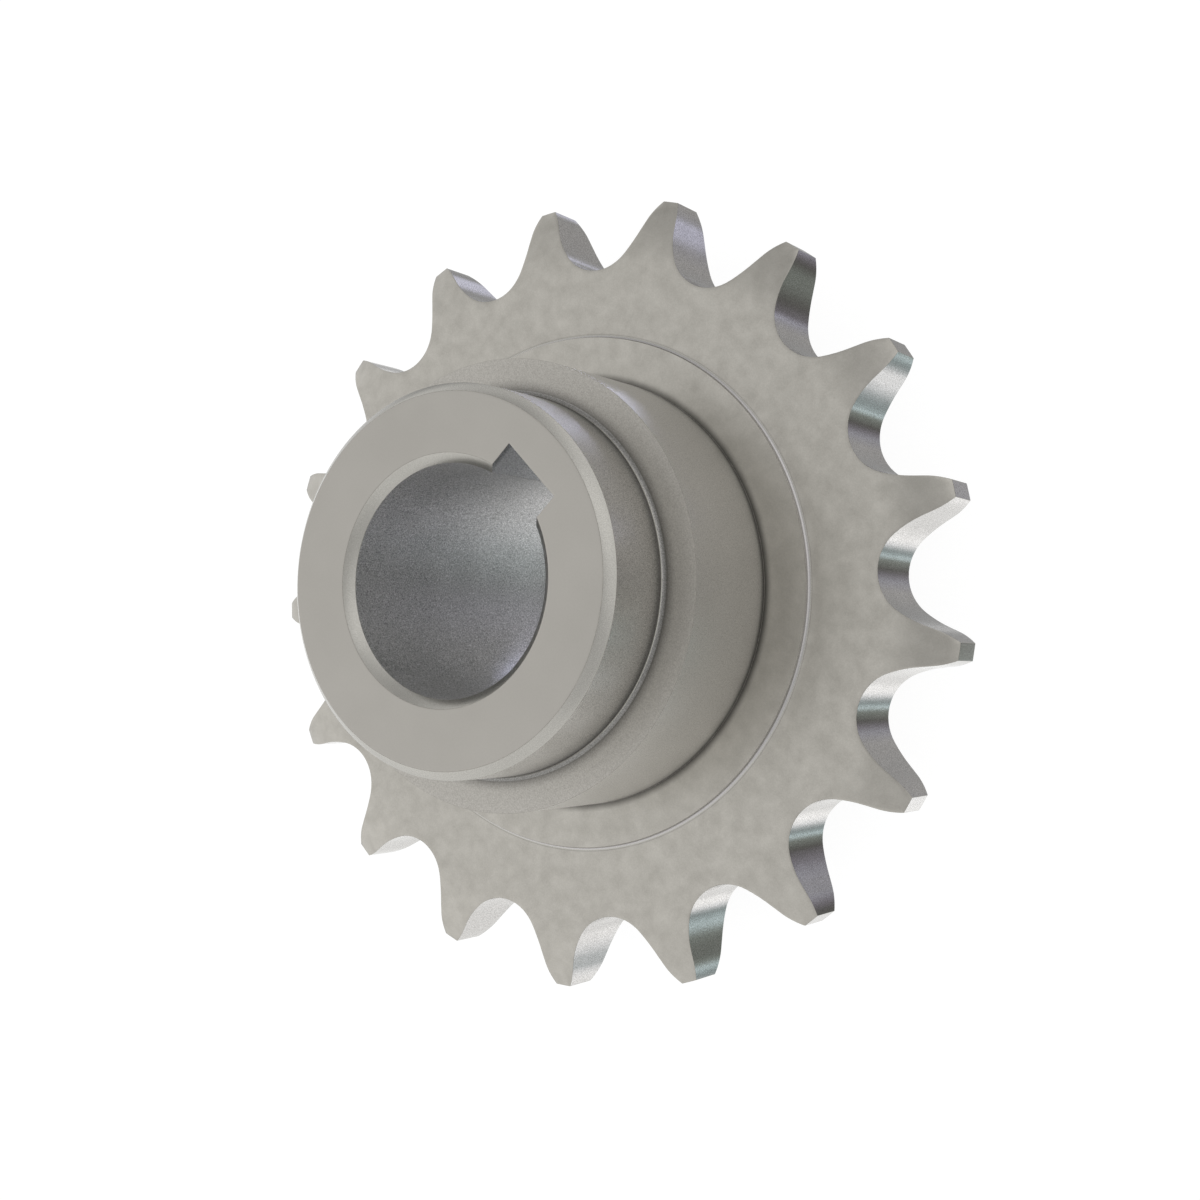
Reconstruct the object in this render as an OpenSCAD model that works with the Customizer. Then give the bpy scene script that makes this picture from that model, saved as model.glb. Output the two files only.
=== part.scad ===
// Roller-chain sprocket with a stepped, keyed hub, turned and milled from one piece of steel.
// The bore axis is +Z, the flat end of the short back hub lies at z = 0, and the keyway points along +Y.

/* [Chain] */
// Pitch of the roller chain, from pin to pin
chain_pitch = 15.875; // [15:0.005:18]
// Diameter of the chain's rollers
roller_d = 10.16; // [8:0.01:10.5]
// Number of teeth
teeth = 17; // [16:1:40]

/* [Teeth] */
// Width of the toothed rim, measured along the bore
rim_w = 8.9; // [6:0.1:12]
// Width that is left at the tooth tips
tip_w = 4.5; // [2:0.1:5.5]
// Height of the tooth tips above the pitch circle
tip_rise = 3.6; // [2.5:0.1:3.8]

/* [Hub] */
// Diameter of the short hub behind the rim
back_d = 50; // [46:0.5:70]
// Length of the short hub behind the rim
back_h = 5; // [3:0.5:20]
// Diameter of the raised face around the hub
step_d = 60; // [54:0.5:70]
// Height of the raised face above the rim
step_h = 0.6; // [0.3:0.1:3]
// Diameter of the collar
collar_d = 50; // [46:0.5:53]
// Height of the collar above the raised face
collar_h = 15.5; // [8:0.5:30]
// Diameter of the nose, the thinner end of the hub
nose_d = 42; // [40:0.5:45]
// Height of the nose above the collar
nose_h = 10; // [5:0.5:30]
// Chamfer on the outer edges at both ends of the hub
hub_chamfer = 1; // [0.2:0.1:1.5]
// Radius in the turned corners, at the foot of the nose, of the raised face and of the back hub
corner_r = 0.5; // [0.2:0.1:1]

/* [Bore] */
// Diameter of the bore
bore_d = 25; // [16:0.5:28]
// Chamfer at both ends of the bore
bore_chamfer = 1; // [0.2:0.1:1.5]
// Width of the keyway
key_w = 8; // [4:0.5:10]
// Depth of the keyway, from the bore wall to its floor
key_depth = 3.3; // [2:0.1:3.5]

/* [Hidden] */
$fn = 180;
cut_over = 1;

pitch_angle = 360 / teeth;
pitch_r = chain_pitch / 2 / sin(180 / teeth);
tip_r = pitch_r + tip_rise;
step_r = step_d / 2;
collar_r = collar_d / 2;
nose_r = nose_d / 2;
bore_r = bore_d / 2;
back_r = back_d / 2;
rim_z = back_h;
rim_top = rim_z + rim_w;
front_z = rim_top + step_h;
collar_z = front_z + collar_h;
nose_z = collar_z + nose_h;

// Tooth form of the chain standard, in millimetres: every radius and angle follows from the
// roller, the pitch and the number of teeth
roller_clearance = 0.0381;
seat_r = 0.5025 * roller_d + roller_clearance;
seat_angle = 35 + 60 / teeth;
work_angle = 18 - 56 / teeth;
tooth_angle = 17 - 64 / teeth;
work_offset = 0.8 * roller_d;
work_r = work_offset + seat_r;
flank_l = roller_d * (1.4 * sin(tooth_angle) - 0.8 * sin(work_angle));
crown_r = roller_d * (0.8 * cos(work_angle) + 1.4 * cos(tooth_angle) - 1.3025) - roller_clearance;

// Side relief: an arc of one chain pitch that leaves the tip width
relief_r = chain_pitch;
relief_depth = (rim_w - tip_w) / 2;
relief_start_r = tip_r - sqrt(2 * relief_r * relief_depth - pow(relief_depth, 2));

// How far each curve of a flank laps into the one before it, so that they cross and don't just touch
lap = 0.003;

function toward(angle, length) = length * [cos(angle), sin(angle)];

// Points of one flank, with the middle of the tooth gap along +Y
flank_angle = seat_angle - work_angle;
inward = -toward(-flank_angle, 1);
seat_centre = [0, pitch_r];
work_centre = seat_centre - toward(-seat_angle, work_offset);
work_end = work_centre + toward(-flank_angle, work_r) + 2 * lap * inward;
flank_end = work_end + toward(90 - flank_angle, flank_l);
crown_centre = flank_end - (crown_r + 2 * lap) * inward;

// One side of a tooth gap: the roller seat, the working curve, the straight flank, and what lies
// outside the rounded crown of the next tooth
module half_gap() {
    reach = tip_r + cut_over;
    past_tooth = 89 - pitch_angle / 2;
    translate(seat_centre) circle(seat_r);
    translate(work_centre) intersection() {
        circle(work_r - lap);
        polygon([[0, 0], toward(-seat_angle, 2 * work_r), toward(3 - flank_angle, 2 * work_r)]);
    }
    difference() {
        polygon([
            [-seat_r / 2, pitch_r],
            work_end,
            flank_end,
            toward(past_tooth, tip_r - tip_rise / 2),
            toward(past_tooth, reach),
            [0, reach + cut_over],
            [-seat_r / 2, reach]
        ]);
        translate(crown_centre) circle(crown_r + 3 * lap);
    }
}

module tooth_gap() {
    half_gap();
    mirror([1, 0]) half_gap();
}

// The fillet that fills an inner corner, with the corner at the origin
module corner_fillet(r) {
    difference() {
        square(r);
        translate([r, r]) circle(r);
    }
}

// Half section of the rim with its side reliefs, its back face at zero height
module rim_section() {
    intersection() {
        translate([bore_r + bore_chamfer, 0]) square([tip_r - bore_r - bore_chamfer, rim_w]);
        union() {
            square([relief_start_r, rim_w]);
            translate([relief_start_r, rim_w - relief_r]) circle(relief_r);
        }
        union() {
            square([relief_start_r, rim_w]);
            translate([relief_start_r, relief_r]) circle(relief_r);
        }
    }
}

// Half section of the hub, from the bore out to the back hub, the raised face, the collar and the nose
module hub_section() {
    rim_middle = rim_z + rim_w / 2;
    polygon([
        [bore_r + bore_chamfer, 0],
        [back_r - hub_chamfer, 0],
        [back_r, hub_chamfer],
        [back_r, rim_middle],
        [step_r, rim_middle],
        [step_r, front_z],
        [collar_r, front_z],
        [collar_r, collar_z],
        [nose_r, collar_z],
        [nose_r, nose_z - hub_chamfer],
        [nose_r - hub_chamfer, nose_z],
        [bore_r + bore_chamfer, nose_z],
        [bore_r, nose_z - bore_chamfer],
        [bore_r, bore_chamfer]
    ]);
    translate([back_r, rim_z]) mirror([0, 1]) corner_fillet(min(corner_r, back_h));
    translate([step_r, rim_top]) corner_fillet(min(corner_r, step_h));
    translate([nose_r, collar_z]) corner_fillet(min(corner_r, collar_r - nose_r));
}

module keyway() {
    translate([-key_w / 2, 0, -cut_over]) cube([key_w, bore_r + key_depth, nose_z + 2 * cut_over]);
}

module sprocket() {
    color("#a5a198") difference() {
        rotate_extrude() {
            translate([0, rim_z]) rim_section();
            hub_section();
        }
        for (i = [0 : teeth - 1]) {
            rotate(i * pitch_angle) translate([0, 0, rim_z - cut_over])
                linear_extrude(rim_w + 2 * cut_over) tooth_gap();
        }
        keyway();
    }
}

sprocket();
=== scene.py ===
import math

import bmesh
import bpy
from mathutils import Matrix, Vector


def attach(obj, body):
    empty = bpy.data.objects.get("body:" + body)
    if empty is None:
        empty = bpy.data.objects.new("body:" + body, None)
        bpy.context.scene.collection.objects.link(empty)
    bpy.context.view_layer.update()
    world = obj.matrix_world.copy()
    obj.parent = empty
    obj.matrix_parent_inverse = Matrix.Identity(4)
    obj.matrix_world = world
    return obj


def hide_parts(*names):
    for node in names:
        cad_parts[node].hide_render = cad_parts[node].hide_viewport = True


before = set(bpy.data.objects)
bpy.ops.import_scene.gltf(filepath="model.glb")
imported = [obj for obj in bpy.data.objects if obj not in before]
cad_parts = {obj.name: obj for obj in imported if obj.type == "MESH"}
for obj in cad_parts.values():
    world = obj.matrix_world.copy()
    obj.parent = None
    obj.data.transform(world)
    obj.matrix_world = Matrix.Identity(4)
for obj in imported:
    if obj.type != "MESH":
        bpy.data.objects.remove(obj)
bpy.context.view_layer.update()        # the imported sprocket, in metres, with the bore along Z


def mm(value):
    return value / 1000


def toLinear(hexColour):
    channels = [int(hexColour[i:i + 2], 16) / 255 for i in (1, 3, 5)]
    return [c / 12.92 if c <= 0.04045 else ((c + 0.055) / 1.055) ** 2.4 for c in channels] + [1.0]


def addNode(tree, kind, inputs=None, **settings):
    node = tree.nodes.new(kind)
    for name, value in settings.items():
        setattr(node, name, value)
    for socket, value in (inputs or {}).items():
        if isinstance(value, bpy.types.NodeSocket):
            tree.links.new(value, node.inputs[socket])
        else:
            node.inputs[socket].default_value = value
    return node


# Machined carbon steel in twelve finishes, all bare metal: how the tool left them tells them apart, and in
# some, painted light and shade.
# Grain is the spacing of the tool's and the grit's marks in mm, drawn about twice as coarse as the real
# 0.05 to 0.1 mm so that it shows; clouds are the soft stains that a thin film of oil leaves
finishes = {
    "groundPlateSteel": {        # ground flat: matt and even, with soft cloudy stains
        "pale": "#B7B4AD", "deep": "#A4A19A", "roughness": 0.34, "grain": 0.15, "grainShare": 0.42,
        "grainHeight": 0.0, "cloud": 2.0, "cloudShare": 0.58, "paintedShade": ["collarFoot", "raisedFaceFoot"]},
    "facedSteel": {              # faced on the lathe with a fine feed: the smoothest, almost no marks
        "pale": "#ABA8A2", "deep": "#A7A49E", "roughness": 0.42, "grain": 0.2, "grainShare": 0.4,
        "grainHeight": 0.0, "cloud": 9.0, "cloudShare": 0.6, "paintedShade": []},
    "facedShoulderSteel": {      # faced with the side of the tool: a fine grain that shows a little more
        "pale": "#BAB7B1", "deep": "#A09D97", "roughness": 0.42, "grain": 0.14, "grainShare": 0.9,
        "grainHeight": 0.0, "cloud": 9.0, "cloudShare": 0.1, "paintedShade": ["noseFoot", "noseFootEdge"]},
    "turnedNoseSteel": {         # turned and tumbled: a fine matt grain that sparkles
        "pale": "#ECEAE6", "deep": "#A3A19C", "roughness": 0.31, "grain": 0.12, "grainShare": 0.9,
        "grainHeight": 0.009, "cloud": 6.0, "cloudShare": 0.1, "paintedShade": ["noseFoot", "noseFootEdge"]},
    "paintedLightCollarSteel": {       # the nose's turned steel, softer, with light painted in as a paler tone
        "pale": "#E7E5E1", "deep": "#C2C0BB", "roughness": 0.36, "grain": 0.12, "grainShare": 0.9,
        "grainHeight": 0.005, "cloud": 6.0, "cloudShare": 0.1, "paintedShade": ["collarFoot"]},
    "chamferedSteel": {          # chamfers and strips of the foot radii, cut last with a fresh tool: smooth
        "pale": "#B8B6B0", "deep": "#A8A6A0", "roughness": 0.24, "grain": 0.12, "grainShare": 0.9,
        "grainHeight": 0.0008, "cloud": 6.0, "cloudShare": 0.1, "paintedShade": []},
    "countersunkSteel": {        # the bore's chamfers, cut with a countersink: the same, but duller
        "pale": "#B9B7B1", "deep": "#A7A59F", "roughness": 0.29, "grain": 0.12, "grainShare": 0.9,
        "grainHeight": 0.001, "cloud": 6.0, "cloudShare": 0.1, "paintedShade": []},
    "paintedHighlightFootSteel": {        # the raised face's foot: a highlight painted in as a thin pale line
        "pale": "#C3C0BF", "deep": "#B1AFAE", "roughness": 0.3, "grain": 0.12, "grainShare": 0.9,
        "grainHeight": 0.002, "cloud": 6.0, "cloudShare": 0.1, "paintedShade": []},
    "milledFlankSteel": {        # milled bright: takes up the studio as soft bands with a fine speckle
        "pale": "#E4E2DF", "deep": "#A6A4A0", "roughness": 0.11, "grain": 0.14, "grainShare": 0.9,
        "grainHeight": 0.007, "cloud": 4.0, "cloudShare": 0.1, "paintedShade": []},
    "boredSteel": {              # bored with a coarse feed: the coarsest speckle, made paler than the faces as light painted into the deep bore, with shade painted in towards both ends
        "pale": "#FBFAF9", "deep": "#969694", "roughness": 0.56, "grain": 0.155, "grainShare": 0.9,
        "grainHeight": 0.013, "cloud": 6.0, "cloudShare": 0.1, "paintedShade": ["boreMouth", "boreTail"]},
    "broachedSteel": {           # the keyway, pushed through with a broach: the same speckle and painted light as the bore, painted shade at the mouth, but slicker
        "pale": "#DCDDDE", "deep": "#909293", "roughness": 0.42, "grain": 0.155, "grainShare": 0.9,
        "grainHeight": 0.009, "cloud": 6.0, "cloudShare": 0.1, "paintedShade": ["boreMouth"]},
    "brushedEdgeSteel": {        # every sharp edge, broken with a wire brush: dull, so no edge sparkles
        "pale": "#B7B4AD", "deep": "#A4A19A", "roughness": 0.85, "grain": 0.15, "grainShare": 0.42,
        "grainHeight": 0.0, "cloud": 2.0, "cloudShare": 0.58, "paintedShade": []},
}
# Shade painted into the steel's colour in the turned inner corners and towards both ends of the bore: the
# radius and height where it is darkest, how far it reaches from there, all in mm, and its darkest share of
# the steel's own tone
paintedShadeRings = {
    "noseFoot": (21, 30, 1.8, 0.41),
    "noseFootEdge": (21.4, 30.05, 0.35, 0.78),
    "collarFoot": (25, 14.5, 1.0, 0.36),
    "raisedFaceFoot": (30.38, 13.9, 0.2, 0.75),
    "boreMouth": (12.5, 40, 38, 0.76),
    "boreTail": (12.5, 0, 9, 0.8),
}
# What the patterns of all the finishes share
pattern = {
    "grainDetail": 2.0, "grainRoughness": 0.6,
    "cloudDetail": 3.0, "cloudRoughness": 0.55,
    "toneSpan": (0.32, 0.68),          # what the pattern gives where the tone is deepest and palest
    "roughnessSpan": (0.3, 0.7),       # and where the steel is dullest and smoothest
    "roughnessChange": 0.03,
}


def newFinish(name):
    look = finishes[name]
    material = bpy.data.materials.new(name)
    material.use_nodes = True
    tree = material.node_tree
    shader = tree.nodes["Principled BSDF"]
    place = addNode(tree, "ShaderNodeTexCoord").outputs["Object"]

    # Two patterns, fine grain and broad clouds, spread between the deep and the pale tone
    grain = addNode(tree, "ShaderNodeTexNoise", {
        "Vector": place, "Scale": 1 / mm(look["grain"]),
        "Detail": pattern["grainDetail"], "Roughness": pattern["grainRoughness"]}).outputs[0]
    cloud = addNode(tree, "ShaderNodeTexNoise", {
        "Vector": place, "Scale": 1 / mm(look["cloud"]),
        "Detail": pattern["cloudDetail"], "Roughness": pattern["cloudRoughness"]}).outputs[0]
    fineTone = addNode(tree, "ShaderNodeMath", {
        0: grain, 1: look["grainShare"]}, operation="MULTIPLY").outputs[0]
    tone = addNode(tree, "ShaderNodeMath", {
        0: cloud, 1: look["cloudShare"], 2: fineTone}, operation="MULTIPLY_ADD").outputs[0]
    deepest, palest = pattern["toneSpan"]
    spread = addNode(tree, "ShaderNodeMapRange", {0: tone, 1: deepest, 2: palest}).outputs[0]
    steel = addNode(tree, "ShaderNodeMix", {
        0: spread, 6: toLinear(look["deep"]), 7: toLinear(look["pale"])}, data_type="RGBA").outputs[2]

    # Painted shade, by the distance from where it is darkest, in the plane of radius and height
    flat = addNode(tree, "ShaderNodeVectorMath", {0: place, 1: (1, 1, 0)}, operation="MULTIPLY").outputs[0]
    radius = addNode(tree, "ShaderNodeVectorMath", {0: flat}, operation="LENGTH").outputs["Value"]
    height = addNode(tree, "ShaderNodeSeparateXYZ", {0: place}).outputs["Z"]
    section = addNode(tree, "ShaderNodeCombineXYZ", {"X": radius, "Y": height}).outputs[0]
    for shadeRadius, shadeHeight, reach, darkest in (paintedShadeRings[shadeRing] for shadeRing in look["paintedShade"]):
        gap = addNode(tree, "ShaderNodeVectorMath", {
            0: section, 1: (mm(shadeRadius), mm(shadeHeight), 0)}, operation="DISTANCE").outputs["Value"]
        shade = addNode(tree, "ShaderNodeMapRange", {
            0: gap, 1: 0.0, 2: mm(reach), 3: darkest, 4: 1.0}, interpolation_type="SMOOTHSTEP").outputs[0]
        steel = addNode(tree, "ShaderNodeMix", {
            0: 1.0, 6: steel, 7: shade}, data_type="RGBA", blend_type="MULTIPLY").outputs[2]
    tree.links.new(steel, shader.inputs["Base Color"])

    dullest, smoothest = pattern["roughnessSpan"]
    rough = addNode(tree, "ShaderNodeMapRange", {
        0: tone, 1: dullest, 2: smoothest,
        3: look["roughness"] + pattern["roughnessChange"],
        4: look["roughness"] - pattern["roughnessChange"]}).outputs[0]
    tree.links.new(rough, shader.inputs["Roughness"])
    if look["grainHeight"]:
        bump = addNode(tree, "ShaderNodeBump", {
            "Height": grain, "Strength": 1.0, "Distance": mm(look["grainHeight"])}).outputs[0]
        tree.links.new(bump, shader.inputs["Normal"])
    shader.inputs["Metallic"].default_value = 1
    return material


steels = {name: newFinish(name) for name in finishes}
slotOf = {name: slot for slot, name in enumerate(finishes)}
print("scene: finishes", ", ".join(finishes))


# Sizes in millimetres and degrees
chain = {
    "pitch": 15.875,         # pin to pin
    "roller": 10.16,         # roller diameter
    "teeth": 17,
}
rim = {
    "width": 8.9,
    "tipWidth": 4.5,         # what the side reliefs leave at the tips
    "tipRise": 3.6,          # tips above the pitch circle
    "seatPoints": 9,
    "workPoints": 4,
    "crownPoints": 8,
    "tipPoints": 4,
    "rings": 17,             # from the raised face out to the tooth outline
}
hub = {
    "backRadius": 25, "backHeight": 5,
    "stepRadius": 30, "stepHeight": 0.6,
    "collarRadius": 25, "collarHeight": 15.5,
    "noseRadius": 21, "noseHeight": 10,
    "chamfer": 1, "corner": 0.5, "cornerPoints": 6,
    "stepCorner": 0.38,      # the raised face's foot is cut with a sharper tool
    "land": 0.25,            # narrow band along the edges of the two ends, which keeps them shading flat
}
bore = {
    "radius": 12.5, "chamfer": 1,
    "keyWidth": 8, "keyDepth": 3.3,
    "floorColumns": 32,      # columns across half the keyway's floor
    "wallColumns": 10,       # columns down one wall of the keyway
}

pitchRadius = chain["pitch"] / 2 / math.sin(math.pi / chain["teeth"])
tipRadius = pitchRadius + rim["tipRise"]


# The tooth form of the chain standard, in millimetres and degrees, with the standard's own factors
def toothForm():
    teeth, roller = chain["teeth"], chain["roller"]
    clearance = 0.0381
    seatRadius = 0.5025 * roller + clearance
    seatAngle, workAngle, toothAngle = 35 + 60 / teeth, 18 - 56 / teeth, 17 - 64 / teeth
    workOffset = 0.8 * roller
    flankAngle = seatAngle - workAngle
    toothSin, workSin = (math.sin(math.radians(a)) for a in (toothAngle, workAngle))
    toothCos, workCos = (math.cos(math.radians(a)) for a in (toothAngle, workAngle))
    flankLength = roller * (1.4 * toothSin - 0.8 * workSin)
    crownRadius = roller * (0.8 * workCos + 1.4 * toothCos - 1.3025) - clearance

    def toward(angle, length):
        return Vector((math.cos(math.radians(angle)), math.sin(math.radians(angle)), 0)) * length

    seatCentre = Vector((0, pitchRadius, 0))
    workCentre = seatCentre - toward(-seatAngle, workOffset)
    workEnd = workCentre + toward(-flankAngle, workOffset + seatRadius)
    crownStart = workEnd + toward(90 - flankAngle, flankLength)
    crownCentre = crownStart + toward(-flankAngle, crownRadius)

    # The crown arc ends where it meets the tip circle
    reach = crownCentre.length
    meet = (tipRadius ** 2 - crownRadius ** 2 + reach ** 2) / (2 * reach)
    side = math.sqrt(tipRadius ** 2 - meet ** 2)
    outward = crownCentre / reach
    crownEnd = outward * meet + Vector((-outward.y, outward.x, 0)) * side
    fromCrown = crownEnd - crownCentre
    crownTo = math.degrees(math.atan2(fromCrown.y, fromCrown.x))
    tipFrom = math.degrees(math.atan2(crownEnd.y, crownEnd.x))
    toothMiddle = 90 - 180 / teeth
    print("scene: tooth form, crown to", round(crownTo, 2), "degrees, tip from", round(tipFrom, 2),
          "to", round(toothMiddle, 2))

    # Centre, radius, first angle, last angle and number of points of each arc, from the gap's middle
    # to the tooth's; the straight flank is the one step between the working arc and the crown
    return [
        ("Seat", seatCentre, seatRadius, -90, -seatAngle, rim["seatPoints"]),
        ("Working", workCentre, workOffset + seatRadius, -seatAngle, -flankAngle, rim["workPoints"]),
        ("Crown", crownCentre, crownRadius, 180 - flankAngle, crownTo, rim["crownPoints"]),
        ("Tip", Vector((0, 0, 0)), tipRadius, tipFrom, toothMiddle, rim["tipPoints"]),
    ]


arcs = toothForm()
outlinePoints = sum(points for *_, points in arcs)
columns = 2 * chain["teeth"] * (outlinePoints - 1)
mergeDistance = mm(0.002)     # points closer than this become one
print("scene: tooth outline of", outlinePoints, "points per half gap")


# Geometry Nodes tree for the whole toothed rim
def toothRimTree():
    tree = bpy.data.node_groups.new("Tooth rim", "GeometryNodeTree")
    sockets = tree.interface
    sockets.new_socket("Geometry", in_out="OUTPUT", socket_type="NodeSocketGeometry")
    for name in ("Teeth", "Rings"):
        sockets.new_socket(name, in_out="INPUT", socket_type="NodeSocketInt")
    for name in ("Rim width", "Rim height", "Foot radius", "Relief start", "Relief radius"):
        sockets.new_socket(name, in_out="INPUT", socket_type="NodeSocketFloat")
    for name in ("Seat", "Working", "Crown", "Tip"):
        sockets.new_socket(name + " centre", in_out="INPUT", socket_type="NodeSocketVector")
        for size in (" radius", " from", " sweep"):
            sockets.new_socket(name + size, in_out="INPUT", socket_type="NodeSocketFloat")
        sockets.new_socket(name + " points", in_out="INPUT", socket_type="NodeSocketInt")
    for name in ("Face finish", "Flank finish"):
        sockets.new_socket(name, in_out="INPUT", socket_type="NodeSocketMaterial")
    given = tree.nodes.new("NodeGroupInput").outputs

    # Outline from the middle of the gap to the middle of the tooth, the arcs joined end to end
    joined = tree.nodes.new("GeometryNodeJoinGeometry")
    for name in ("Tip", "Crown", "Working", "Seat"):        # the last one linked comes first
        arc = addNode(tree, "GeometryNodeCurveArc", {
            "Resolution": given[name + " points"], "Radius": given[name + " radius"],
            "Start Angle": given[name + " from"], "Sweep Angle": given[name + " sweep"]}, mode="RADIUS")
        placed = addNode(tree, "GeometryNodeTransform", {
            "Geometry": arc.outputs[0], "Translation": given[name + " centre"]})
        tree.links.new(placed.outputs[0], joined.inputs[0])
    outline = joined.outputs[0]
    pointCount = addNode(tree, "GeometryNodeAttributeDomainSize", {
        0: outline}, component="CURVE").outputs[0]

    # A grid of one column per outline point, from the foot over the back out to the outline and
    # in again over the front
    rowCount = addNode(tree, "FunctionNodeIntegerMath", {
        0: given["Rings"], 1: 2}, operation="MULTIPLY").outputs[0]
    grid = addNode(tree, "GeometryNodeMeshGrid", {
        "Size X": 1.0, "Size Y": 1.0, "Vertices X": pointCount, "Vertices Y": rowCount}).outputs[0]
    index = tree.nodes.new("GeometryNodeInputIndex").outputs[0]
    column = addNode(tree, "FunctionNodeIntegerMath", {
        0: index, 1: rowCount}, operation="DIVIDE_FLOOR").outputs[0]
    row = addNode(tree, "FunctionNodeIntegerMath", {
        0: index, 1: rowCount}, operation="MODULO").outputs[0]

    # Rings count from the foot on both sides, and the side is -1 on the back and 1 on the front
    lastRing = addNode(tree, "FunctionNodeIntegerMath", {
        0: given["Rings"], 1: 1}, operation="SUBTRACT").outputs[0]
    lastRow = addNode(tree, "FunctionNodeIntegerMath", {
        0: rowCount, 1: 1}, operation="SUBTRACT").outputs[0]
    rowFromLast = addNode(tree, "FunctionNodeIntegerMath", {
        0: lastRow, 1: row}, operation="SUBTRACT").outputs[0]
    ring = addNode(tree, "FunctionNodeIntegerMath", {
        0: row, 1: rowFromLast}, operation="MINIMUM").outputs[0]
    seam = addNode(tree, "ShaderNodeMath", {0: lastRing, 1: 0.5}, operation="ADD").outputs[0]
    pastSeam = addNode(tree, "ShaderNodeMath", {0: row, 1: seam}, operation="SUBTRACT").outputs[0]
    side = addNode(tree, "ShaderNodeMath", {0: pastSeam}, operation="SIGN").outputs[0]

    # The foot's points stand at even angles, the last one at the middle of the tooth
    stepCount = addNode(tree, "FunctionNodeIntegerMath", {
        0: pointCount, 1: 1}, operation="SUBTRACT").outputs[0]
    stepsPerHalfTurn = addNode(tree, "ShaderNodeMath", {
        0: given["Teeth"], 1: stepCount}, operation="MULTIPLY").outputs[0]
    columnTurn = addNode(tree, "ShaderNodeMath", {
        0: column, 1: math.pi}, operation="MULTIPLY").outputs[0]
    angle = addNode(tree, "ShaderNodeMath", {
        0: columnTurn, 1: stepsPerHalfTurn}, operation="DIVIDE").outputs[0]
    sine = addNode(tree, "ShaderNodeMath", {0: angle}, operation="SINE").outputs[0]
    cosine = addNode(tree, "ShaderNodeMath", {0: angle}, operation="COSINE").outputs[0]
    direction = addNode(tree, "ShaderNodeCombineXYZ", {"X": sine, "Y": cosine}).outputs[0]
    foot = addNode(tree, "ShaderNodeVectorMath", {
        0: direction, "Scale": given["Foot radius"]}, operation="SCALE").outputs[0]
    position = tree.nodes.new("GeometryNodeInputPosition").outputs[0]
    edge = addNode(tree, "GeometryNodeSampleIndex", {
        "Geometry": outline, "Value": position, "Index": column},
        data_type="FLOAT_VECTOR", domain="POINT").outputs[0]
    share = addNode(tree, "ShaderNodeMath", {0: ring, 1: lastRing}, operation="DIVIDE").outputs[0]
    flat = addNode(tree, "ShaderNodeMix", {
        "Factor": share, 4: foot, 5: edge}, data_type="VECTOR").outputs[1]

    # Side relief: an arc that sinks below the rim's face from the relief's first radius outwards
    radius = addNode(tree, "ShaderNodeVectorMath", {0: flat}, operation="LENGTH").outputs["Value"]
    pastStart = addNode(tree, "ShaderNodeMath", {
        0: radius, 1: given["Relief start"]}, operation="SUBTRACT").outputs[0]
    beyond = addNode(tree, "ShaderNodeMath", {0: pastStart, 1: 0.0}, operation="MAXIMUM").outputs[0]
    radiusSquared = addNode(tree, "ShaderNodeMath", {
        0: given["Relief radius"], 1: 2.0}, operation="POWER").outputs[0]
    beyondSquared = addNode(tree, "ShaderNodeMath", {0: beyond, 1: 2.0}, operation="POWER").outputs[0]
    squares = addNode(tree, "ShaderNodeMath", {
        0: radiusSquared, 1: beyondSquared}, operation="SUBTRACT").outputs[0]
    root = addNode(tree, "ShaderNodeMath", {0: squares}, operation="SQRT").outputs[0]
    relief = addNode(tree, "ShaderNodeMath", {
        0: given["Relief radius"], 1: root}, operation="SUBTRACT").outputs[0]
    fullHalf = addNode(tree, "ShaderNodeMath", {
        0: given["Rim width"], 1: 0.5}, operation="MULTIPLY").outputs[0]
    halfWidth = addNode(tree, "ShaderNodeMath", {
        0: fullHalf, 1: relief}, operation="SUBTRACT").outputs[0]
    height = addNode(tree, "ShaderNodeMath", {0: side, 1: halfWidth}, operation="MULTIPLY").outputs[0]
    lift = addNode(tree, "ShaderNodeCombineXYZ", {"Z": height}).outputs[0]
    lifted = addNode(tree, "ShaderNodeVectorMath", {0: flat, 1: lift}, operation="ADD").outputs[0]
    half = addNode(tree, "GeometryNodeSetPosition", {"Geometry": grid, "Position": lifted}).outputs[0]

    # The other half of the gap, then one copy of the pair for each tooth
    other = addNode(tree, "GeometryNodeTransform", {"Geometry": half, "Scale": (-1.0, 1.0, 1.0)}).outputs[0]
    flipped = addNode(tree, "GeometryNodeFlipFaces", {0: other}).outputs[0]
    pair = tree.nodes.new("GeometryNodeJoinGeometry")
    tree.links.new(half, pair.inputs[0])
    tree.links.new(flipped, pair.inputs[0])
    rise = addNode(tree, "ShaderNodeCombineXYZ", {"Z": given["Rim height"]}).outputs[0]
    raised = addNode(tree, "GeometryNodeTransform", {
        "Geometry": pair.outputs[0], "Translation": rise}).outputs[0]
    hubs = addNode(tree, "GeometryNodePoints", {"Count": given["Teeth"]}).outputs[0]
    indexTurn = addNode(tree, "ShaderNodeMath", {
        0: index, 1: 2 * math.pi}, operation="MULTIPLY").outputs[0]
    turn = addNode(tree, "ShaderNodeMath", {
        0: indexTurn, 1: given["Teeth"]}, operation="DIVIDE").outputs[0]
    turned = addNode(tree, "FunctionNodeAxisAngleToRotation", {
        "Axis": (0.0, 0.0, 1.0), "Angle": turn}).outputs[0]
    gaps = addNode(tree, "GeometryNodeInstanceOnPoints", {
        "Points": hubs, "Instance": raised, "Rotation": turned}).outputs[0]
    real = addNode(tree, "GeometryNodeRealizeInstances", {0: gaps}).outputs[0]
    solid = addNode(tree, "GeometryNodeMergeByDistance", {
        "Geometry": real, "Distance": mergeDistance}).outputs[0]

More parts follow.
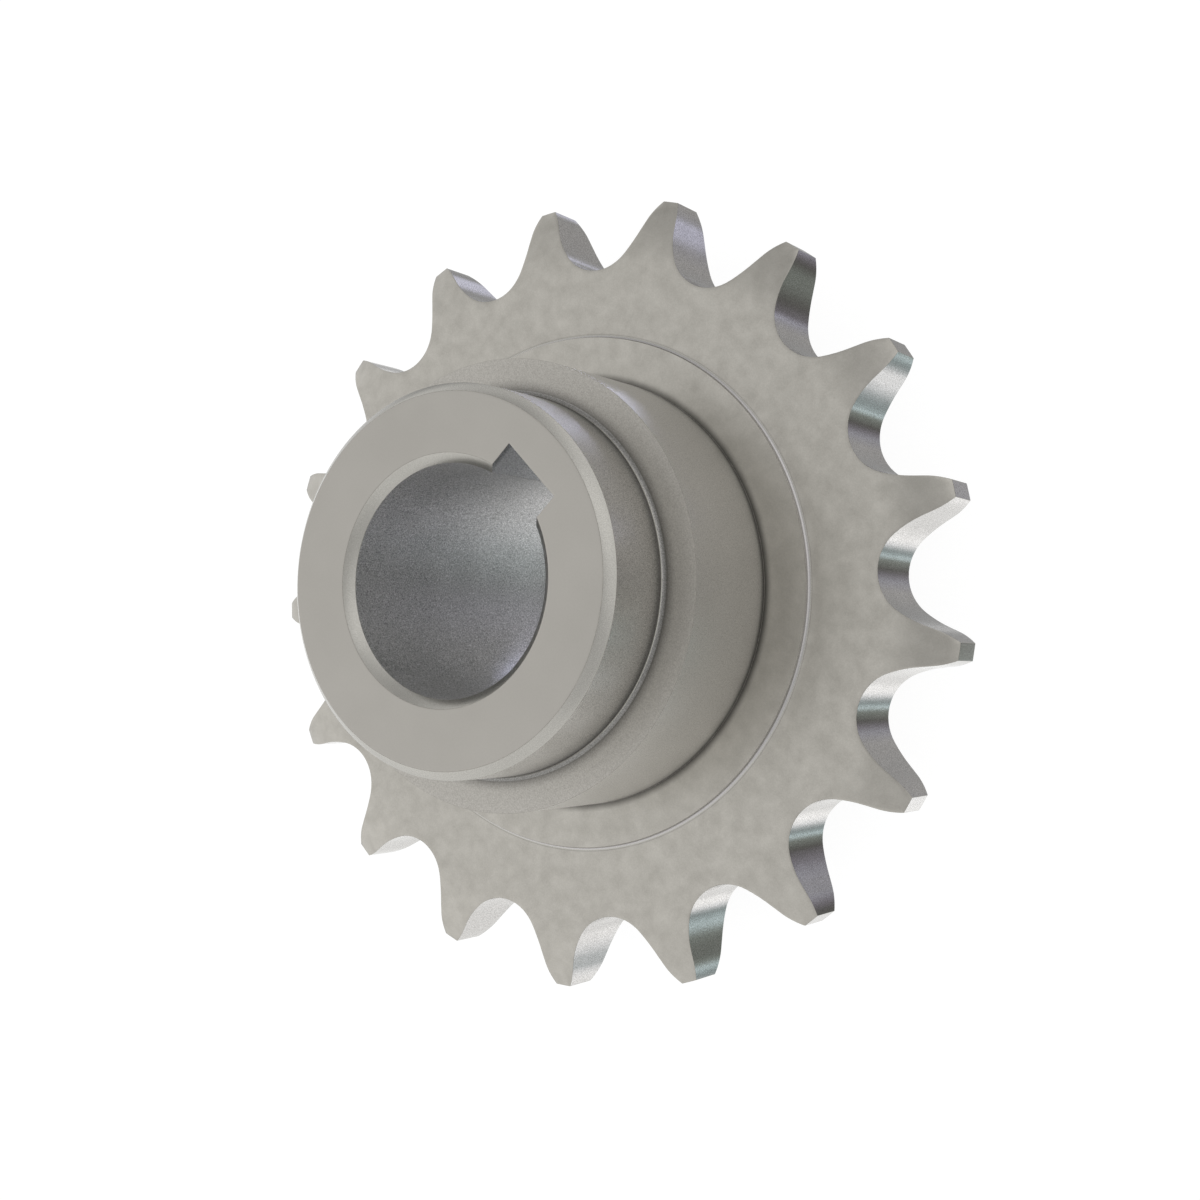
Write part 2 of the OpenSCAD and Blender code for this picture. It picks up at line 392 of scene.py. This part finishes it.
    # Faces that look up or down are ground, the others are milled
    normal = tree.nodes.new("GeometryNodeInputNormal").outputs[0]
    normalHeight = addNode(tree, "ShaderNodeSeparateXYZ", {0: normal}).outputs["Z"]
    tilt = addNode(tree, "ShaderNodeMath", {0: normalHeight}, operation="ABSOLUTE").outputs[0]
    upright = addNode(tree, "FunctionNodeCompare", {
        0: tilt, 1: 0.5}, data_type="FLOAT", operation="LESS_THAN")
    faced = addNode(tree, "GeometryNodeSetMaterial", {"Geometry": solid, "Material": given["Face finish"]})
    milled = addNode(tree, "GeometryNodeSetMaterial", {
        "Geometry": faced.outputs[0], "Selection": upright.outputs[0], "Material": given["Flank finish"]})
    addNode(tree, "NodeGroupOutput", {0: milled.outputs[0]})
    return tree


reliefDepth = (rim["width"] - rim["tipWidth"]) / 2
reliefRadius = chain["pitch"]
footRadius = hub["stepRadius"] + hub["stepCorner"]
rimInputs = {
    "Teeth": chain["teeth"],
    "Rings": rim["rings"],
    "Rim width": mm(rim["width"]),
    "Rim height": mm(hub["backHeight"] + rim["width"] / 2),
    "Foot radius": mm(footRadius),
    "Relief start": mm(tipRadius - math.sqrt(2 * reliefRadius * reliefDepth - reliefDepth ** 2)),
    "Relief radius": mm(reliefRadius),
    "Face finish": steels["groundPlateSteel"],
    "Flank finish": steels["milledFlankSteel"],
}
for name, centre, radius, first, last, points in arcs:
    step = (last - first) / (points if name in ("Working", "Tip") else points - 1)
    if name in ("Working", "Tip"):       # their first point is the last one of the arc before
        first += step
    rimInputs[name + " centre"] = mm(centre)
    rimInputs[name + " radius"] = mm(radius)
    rimInputs[name + " from"] = math.radians(first)
    rimInputs[name + " sweep"] = math.radians(last - first)
    rimInputs[name + " points"] = points


def makeRim():
    tree = toothRimTree()
    holder = bpy.data.objects.new("toothRim", bpy.data.meshes.new("toothRim"))
    bpy.context.scene.collection.objects.link(holder)
    modifier = holder.modifiers.new("Tooth rim", "NODES")
    modifier.node_group = tree
    for socket in tree.interface.items_tree:
        if socket.in_out == "INPUT":
            modifier[socket.identifier] = rimInputs[socket.name]
    graph = bpy.context.evaluated_depsgraph_get()
    mesh = bpy.data.meshes.new_from_object(holder.evaluated_get(graph))
    bpy.data.objects.remove(holder)
    return mesh


# Gives a mesh one slot per steel, in this order, and keeps what each face already has
def orderFinishes(mesh, wanted):
    had = [wanted.index(mesh.materials[face.material_index]) for face in mesh.polygons]
    mesh.materials.clear()
    for steel in wanted:
        mesh.materials.append(steel)
    mesh.polygons.foreach_set("material_index", had)


rimMesh = makeRim()
orderFinishes(rimMesh, list(steels.values()))
print("scene: tooth rim,", len(rimMesh.vertices), "points,", len(rimMesh.polygons), "faces")


# Rings of points round the bore; every one has as many points as the rim's foot
def circleRing(radius, height):
    angles = [2 * math.pi * k / columns for k in range(columns)]
    return [Vector((mm(radius * math.sin(a)), mm(radius * math.cos(a)), mm(height))) for a in angles]


# The bore's ring with the keyway in it, moved outwards by aside
def keyedRing(radius, height, aside=0):
    radius += aside
    halfKey = bore["keyWidth"] / 2 + aside
    keyFloor = bore["radius"] + bore["keyDepth"] + aside
    wallAngle = math.asin(halfKey / radius)
    wallFoot = radius * math.cos(wallAngle)
    floorEnd = bore["floorColumns"]
    wallEnd = floorEnd + bore["wallColumns"]
    halfRing = []
    for k in range(columns // 2 + 1):
        if k <= floorEnd:
            point = (halfKey * k / floorEnd, keyFloor)
        elif k <= wallEnd:
            share = (k - floorEnd) / bore["wallColumns"]
            point = (halfKey, keyFloor + share * (wallFoot - keyFloor))
        else:
            share = (k - wallEnd) / (columns // 2 - wallEnd)
            angle = wallAngle + share * (math.pi - wallAngle)
            point = (radius * math.sin(angle), radius * math.cos(angle))
        halfRing.append(point)
    ring = halfRing + [(-x, y) for x, y in halfRing[-2:0:-1]]
    return [Vector((mm(x), mm(y), mm(height))) for x, y in ring]


# From the face to the wall, round a centre one corner radius away from both
def filletRings(radius, height, up, corner):
    rings = []
    for k in range(hub["cornerPoints"]):
        angle = math.radians(90 * k / (hub["cornerPoints"] - 1))
        outward = corner * (1 - math.sin(angle))
        upward = up * corner * (1 - math.cos(angle))
        rings.append(circleRing(radius + outward, height + upward))
    return rings


def makeHub(mesh):
    rimTop = hub["backHeight"] + rim["width"]
    front = rimTop + hub["stepHeight"]
    collarTop = front + hub["collarHeight"]
    noseTop = collarTop + hub["noseHeight"]
    chamfer, corner = hub["chamfer"], hub["corner"]
    mouthRadius = bore["radius"] + bore["chamfer"]
    noseFillet = filletRings(hub["noseRadius"], collarTop, 1, corner)
    stepFillet = filletRings(hub["stepRadius"], rimTop, 1, hub["stepCorner"])
    boreFinishes = {"mouth": "countersunkSteel", "wall": "boredSteel"}
    # Each band: the rings that it runs through, then its finish, or what part of the bore it is
    bands = [
        (stepFillet[:2], "chamferedSteel"),
        (stepFillet[2:], "paintedHighlightFootSteel"),
        ([circleRing(hub["stepRadius"], front)], "paintedLightCollarSteel"),
        ([circleRing(hub["collarRadius"], front)], "groundPlateSteel"),
        ([circleRing(hub["collarRadius"], collarTop)], "paintedLightCollarSteel"),
        ([circleRing(hub["noseRadius"] + corner, collarTop)], "facedShoulderSteel"),
        (noseFillet[1:4], "turnedNoseSteel"),
        (noseFillet[4:5], "chamferedSteel"),
        (noseFillet[5:], "turnedNoseSteel"),
        ([circleRing(hub["noseRadius"], noseTop - chamfer)], "turnedNoseSteel"),
        ([circleRing(hub["noseRadius"] - chamfer, noseTop)], "chamferedSteel"),
        ([circleRing(hub["noseRadius"] - chamfer - hub["land"], noseTop)], "facedSteel"),
        ([keyedRing(mouthRadius, noseTop, hub["land"])], "facedSteel"),
        ([keyedRing(mouthRadius, noseTop)], "facedSteel"),
        ([keyedRing(bore["radius"], noseTop - bore["chamfer"])], "mouth"),
        ([keyedRing(bore["radius"], bore["chamfer"])], "wall"),
        ([keyedRing(mouthRadius, 0)], "mouth"),
        ([keyedRing(mouthRadius, 0, hub["land"])], "facedSteel"),
        ([circleRing(hub["backRadius"] - chamfer - hub["land"], 0)], "facedSteel"),
        ([circleRing(hub["backRadius"] - chamfer, 0)], "facedSteel"),
        ([circleRing(hub["backRadius"], chamfer)], "chamferedSteel"),
        (filletRings(hub["backRadius"], hub["backHeight"], -1, corner)[::-1], "paintedLightCollarSteel"),
        ([circleRing(footRadius, hub["backHeight"])], "groundPlateSteel"),
    ]
    builder = bmesh.new()
    builder.from_mesh(mesh)
    before = None
    for rings, finish in bands:
        for ring in rings:
            points = [builder.verts.new(place) for place in ring]
            if before:
                for k in range(columns):
                    n = (k + 1) % columns
                    made = builder.faces.new((before[k], before[n], points[n], points[k]))
                    inKey = min(k, columns - 1 - k) < bore["floorColumns"] + bore["wallColumns"]
                    cut = boreFinishes.get(finish, finish)
                    if finish in boreFinishes and inKey:
                        cut = "broachedSteel"
                    made.material_index = slotOf[cut]
            before = points
    bmesh.ops.remove_doubles(builder, verts=builder.verts, dist=mergeDistance)
    bmesh.ops.recalc_face_normals(builder, faces=builder.faces)
    openEdges = sum(1 for e in builder.edges if not e.is_manifold)
    for made in builder.faces:
        made.smooth = True
    builder.to_mesh(mesh)
    builder.free()
    print("scene: hub added,", len(mesh.polygons), "faces,", openEdges, "open edges")


makeHub(rimMesh)

# Broken edges, in millimetres and degrees
edges = {
    "width": 0.025,          # of the bevel along every sharp edge
    "steps": 2,
    "sharpFrom": 25,         # degrees between two faces
}


def finishEdges(mesh, name):
    rough = bpy.data.objects.new(name, mesh)
    bpy.context.scene.collection.objects.link(rough)
    bevel = rough.modifiers.new("Broken edges", "BEVEL")
    bevel.width = mm(edges["width"])
    bevel.segments = edges["steps"]
    bevel.limit_method = "ANGLE"
    bevel.angle_limit = math.radians(edges["sharpFrom"])
    bevel.use_clamp_overlap = False
    bevel.material = slotOf["brushedEdgeSteel"]
    rough.modifiers.new("Flat faces shade flat", "WEIGHTED_NORMAL")
    graph = bpy.context.evaluated_depsgraph_get()
    finished = bpy.data.meshes.new_from_object(rough.evaluated_get(graph))
    bpy.data.objects.remove(rough)
    piece = bpy.data.objects.new(name, finished)
    bpy.context.scene.collection.objects.link(piece)
    return piece


sprocket = finishEdges(rimMesh, "steel_sprocket")
triangles = sum(len(p.vertices) - 2 for p in sprocket.data.polygons)
print("scene: edges broken,", triangles, "triangles")
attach(sprocket, "root")
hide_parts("sprocket")


# The camera looks down on the lying sprocket from the photo's viewing angle
view = {
    "lens": 50,              # mm, as is the width of the sensor
    "sensor": 36,
    "tilt": 32.136,          # degrees off the bore
    "roll": 4.299,           # degrees of lean in the picture
    "turn": 41.185,          # degrees from the picture's level line to the keyway's side
    "distance": 196.34,      # mm from the middle of the raised face, along the view
    "aside": -3.134,         # mm that the raised face's middle lies off the view's axis
    "above": 1.033,
}


def makeCamera():
    tilt, roll = math.radians(view["tilt"]), math.radians(view["roll"])
    back = Vector((math.sin(tilt), 0, math.cos(tilt)))
    level = Vector((math.cos(tilt), 0, -math.sin(tilt)))
    rise = Vector((0, 1, 0))
    right = math.cos(roll) * level + math.sin(roll) * rise
    up = math.cos(roll) * rise - math.sin(roll) * level
    place = back * view["distance"] - right * view["aside"] - up * view["above"]
    axes = Matrix((right, up, back)).transposed()
    turn = Matrix.Rotation(math.radians(view["turn"]), 3, "Z")
    data = bpy.data.cameras.new("camera")
    data.lens = view["lens"]
    data.sensor_width = view["sensor"]
    camera = bpy.data.objects.new("camera", data)
    bpy.context.scene.collection.objects.link(camera)
    faceHeight = mm(hub["backHeight"] + rim["width"] + hub["stepHeight"])
    seenFrom = turn @ mm(place) + Vector((0, 0, faceHeight))
    camera.matrix_world = Matrix.Translation(seenFrom) @ (turn @ axes).to_4x4()
    bpy.context.scene.camera = camera


makeCamera()
print("scene: camera at", [round(v, 4) for v in bpy.context.scene.camera.matrix_world.translation])

# The pale floor under the sprocket, lengths in millimetres
floor = {
    "halfSize": 3000,
    "drop": 0.05,            # below the sprocket's underside
    "glow": 0.92,            # its own even white
    "matt": 0.14,            # and the share that takes the object's soft shadow
}


# A matt white that glows. The steel's mirror rays, the studio's light and a look from below all pass
# through it
def newFloorWhite():
    material = bpy.data.materials.new("whiteFloor")
    material.use_nodes = True
    tree = material.node_tree
    tree.nodes.clear()
    path = tree.nodes.new("ShaderNodeLightPath").outputs
    fromBelow = tree.nodes.new("ShaderNodeNewGeometry").outputs["Backfacing"]
    glow = addNode(tree, "ShaderNodeEmission", {"Color": (1, 1, 1, 1), "Strength": floor["glow"]})
    share = floor["matt"]
    matt = addNode(tree, "ShaderNodeBsdfDiffuse", {"Color": (share, share, share, 1)})
    seen = addNode(tree, "ShaderNodeAddShader", {0: glow.outputs[0], 1: matt.outputs[0]})
    clear = tree.nodes.new("ShaderNodeBsdfTransparent")
    mirrored = addNode(tree, "ShaderNodeMath", {
        0: path["Is Glossy Ray"], 1: path["Is Shadow Ray"]}, operation="MAXIMUM")
    hidden = addNode(tree, "ShaderNodeMath", {0: mirrored.outputs[0], 1: fromBelow}, operation="MAXIMUM")
    mixed = addNode(tree, "ShaderNodeMixShader", {
        0: hidden.outputs[0], 1: seen.outputs[0], 2: clear.outputs[0]})
    addNode(tree, "ShaderNodeOutputMaterial", {0: mixed.outputs[0]})
    return material


def makeFloor():
    half, level = mm(floor["halfSize"]), mm(-floor["drop"])
    corners = [(-half, -half, level), (half, -half, level), (half, half, level), (-half, half, level)]
    mesh = bpy.data.meshes.new("floor")
    mesh.from_pydata(corners, [], [(0, 1, 2, 3)])
    mesh.materials.append(newFloorWhite())
    plane = bpy.data.objects.new("floor", mesh)
    bpy.context.scene.collection.objects.link(plane)


makeFloor()

# The studio that the steel mirrors. A direction is an angle, from the picture's right round by its
# top, and a height above the floor, in degrees. Above the floor it is white, with a few brighter and
# dimmer places. Below, its tone changes with the angle: pale on the left and at the foot, a soft dark
# screen on the right, and grey at the top
studio = {
    "gain": 1.25,
    "ring": [                  # angle and tone
        (-180, "#F2F2F2"), (-150, "#E3E3E2"), (-90, "#E7E7E7"), (-66, "#F3F3F4"), (-53, "#E6E8EB"),
        (-42, "#9CA5A7"), (-34, "#8A9596"), (-25, "#C6D6DA"), (-16, "#808681"), (7, "#595856"),
        (20, "#79767D"), (33, "#96969E"), (60, "#9F9E9E"), (128, "#8D8D8D"), (143, "#9A9A9A"),
        (154, "#CCCCCC"), (180, "#F2F2F2")],
    "places": [                # angle, height, half width and change of strength
        (8, 69, 38, -0.4),
        (105, 38, 40, -0.35),
        (112, 6, 32, -0.18),
        (-36, 30, 32, -0.28),
        (39, 35, 26, 0.2),
        (-152, 15, 58, 0.15)],
    "lamps": [                 # angle, height, half width, strength and tone
        (97, -40, 7, 21, "#D8DCFF"),
        (106, -50, 8, 0.6, "#DEE0FF"),
        (28, -53, 9, 0.6, "#DEE0FF"),
        (-72, -64, 10, 0.22, "#FFFFFF")],
    "horizon": (-5.7, -23.6),  # heights between which the upper part gives way to the lower
    "foot": (-68.4, -81.9),    # and between which the lower part gives way to the even foot
    "footTone": "#C8C8C8",
}


def makeStudio():
    world = bpy.data.worlds.new("studio")
    bpy.context.scene.world = world
    world.use_nodes = True
    tree = world.node_tree
    tree.nodes.clear()
    turn = math.radians(view["turn"])
    across = Vector((math.cos(turn), math.sin(turn), 0))
    upward = Vector((-math.sin(turn), math.cos(turn), 0))
    outward = Vector((0, 0, 1))
    toward = addNode(tree, "ShaderNodeTexCoord").outputs["Generated"]

    acrossPart = addNode(tree, "ShaderNodeVectorMath", {
        0: toward, 1: across}, operation="DOT_PRODUCT").outputs["Value"]
    upwardPart = addNode(tree, "ShaderNodeVectorMath", {
        0: toward, 1: upward}, operation="DOT_PRODUCT").outputs["Value"]
    outwardPart = addNode(tree, "ShaderNodeVectorMath", {
        0: toward, 1: outward}, operation="DOT_PRODUCT").outputs["Value"]

    # A soft round place in one direction, from nothing at its rim to its full strength in the middle
    def spot(angle, height, halfWidth, strength):
        angle, height, halfWidth = (math.radians(v) for v in (angle, height, halfWidth))
        level = across * math.cos(angle) + upward * math.sin(angle)
        axis = level * math.cos(height) + outward * math.sin(height)
        nearness = addNode(tree, "ShaderNodeVectorMath", {
            0: toward, 1: axis}, operation="DOT_PRODUCT").outputs["Value"]
        return addNode(tree, "ShaderNodeMapRange", {
            0: nearness, 1: math.cos(halfWidth), 2: 1.0, 4: strength},
            interpolation_type="SMOOTHSTEP").outputs[0]

    strength = 1.0
    for *place, change in studio["places"]:
        strength = addNode(tree, "ShaderNodeMath", {0: spot(*place, change), 1: strength}).outputs[0]
    aboveLight = addNode(tree, "ShaderNodeBackground", {
        "Color": (1, 1, 1, 1), "Strength": strength}).outputs[0]

    angle = addNode(tree, "ShaderNodeMath", {
        0: upwardPart, 1: acrossPart}, operation="ARCTAN2").outputs[0]
    turnShare = addNode(tree, "ShaderNodeMapRange", {0: angle, 1: -math.pi, 2: math.pi}).outputs[0]
    ring = addNode(tree, "ShaderNodeValToRGB", {0: turnShare})
    stops = ring.color_ramp.elements
    while len(stops) < len(studio["ring"]):
        stops.new(0.5)
    for stop, (turnedTo, tone) in zip(stops, studio["ring"]):
        stop.position = turnedTo / 360 + 0.5
        stop.color = toLinear(tone)
    # Straight below, where all the angles meet, it is an even grey
    footFrom, footTo = (math.sin(math.radians(v)) for v in studio["foot"])
    footShare = addNode(tree, "ShaderNodeMapRange", {
        0: outwardPart, 1: footFrom, 2: footTo}, interpolation_type="SMOOTHSTEP").outputs[0]
    below = addNode(tree, "ShaderNodeMix", {
        0: footShare, 6: ring.outputs[0], 7: toLinear(studio["footTone"])}, data_type="RGBA").outputs[2]
    belowLight = addNode(tree, "ShaderNodeBackground", {
        "Color": below, "Strength": studio["gain"]}).outputs[0]
    for *lamp, tone in studio["lamps"]:
        light = addNode(tree, "ShaderNodeBackground", {
            "Color": toLinear(tone), "Strength": spot(*lamp)}).outputs[0]
        belowLight = addNode(tree, "ShaderNodeAddShader", {0: belowLight, 1: light}).outputs[0]

    lowFrom, lowTo = (math.sin(math.radians(v)) for v in studio["horizon"])
    lowShare = addNode(tree, "ShaderNodeMapRange", {
        0: outwardPart, 1: lowFrom, 2: lowTo}, interpolation_type="SMOOTHSTEP").outputs[0]
    mirrored = addNode(tree, "ShaderNodeMixShader", {
        0: lowShare, 1: aboveLight, 2: belowLight}).outputs[0]

    # The camera, and anything seen through glass, gets the plain white background
    path = tree.nodes.new("ShaderNodeLightPath").outputs
    plain = addNode(tree, "ShaderNodeBackground", {"Color": (1, 1, 1, 1), "Strength": 1.0}).outputs[0]
    seen = addNode(tree, "ShaderNodeMath", {
        0: path["Is Camera Ray"], 1: path["Is Transmission Ray"]}, operation="MAXIMUM").outputs[0]
    shown = addNode(tree, "ShaderNodeMixShader", {0: seen, 1: mirrored, 2: plain}).outputs[0]
    addNode(tree, "ShaderNodeOutputWorld", {0: shown})


makeStudio()
bpy.context.scene.view_settings.view_transform = "Standard"
print("scene: floor and studio made")
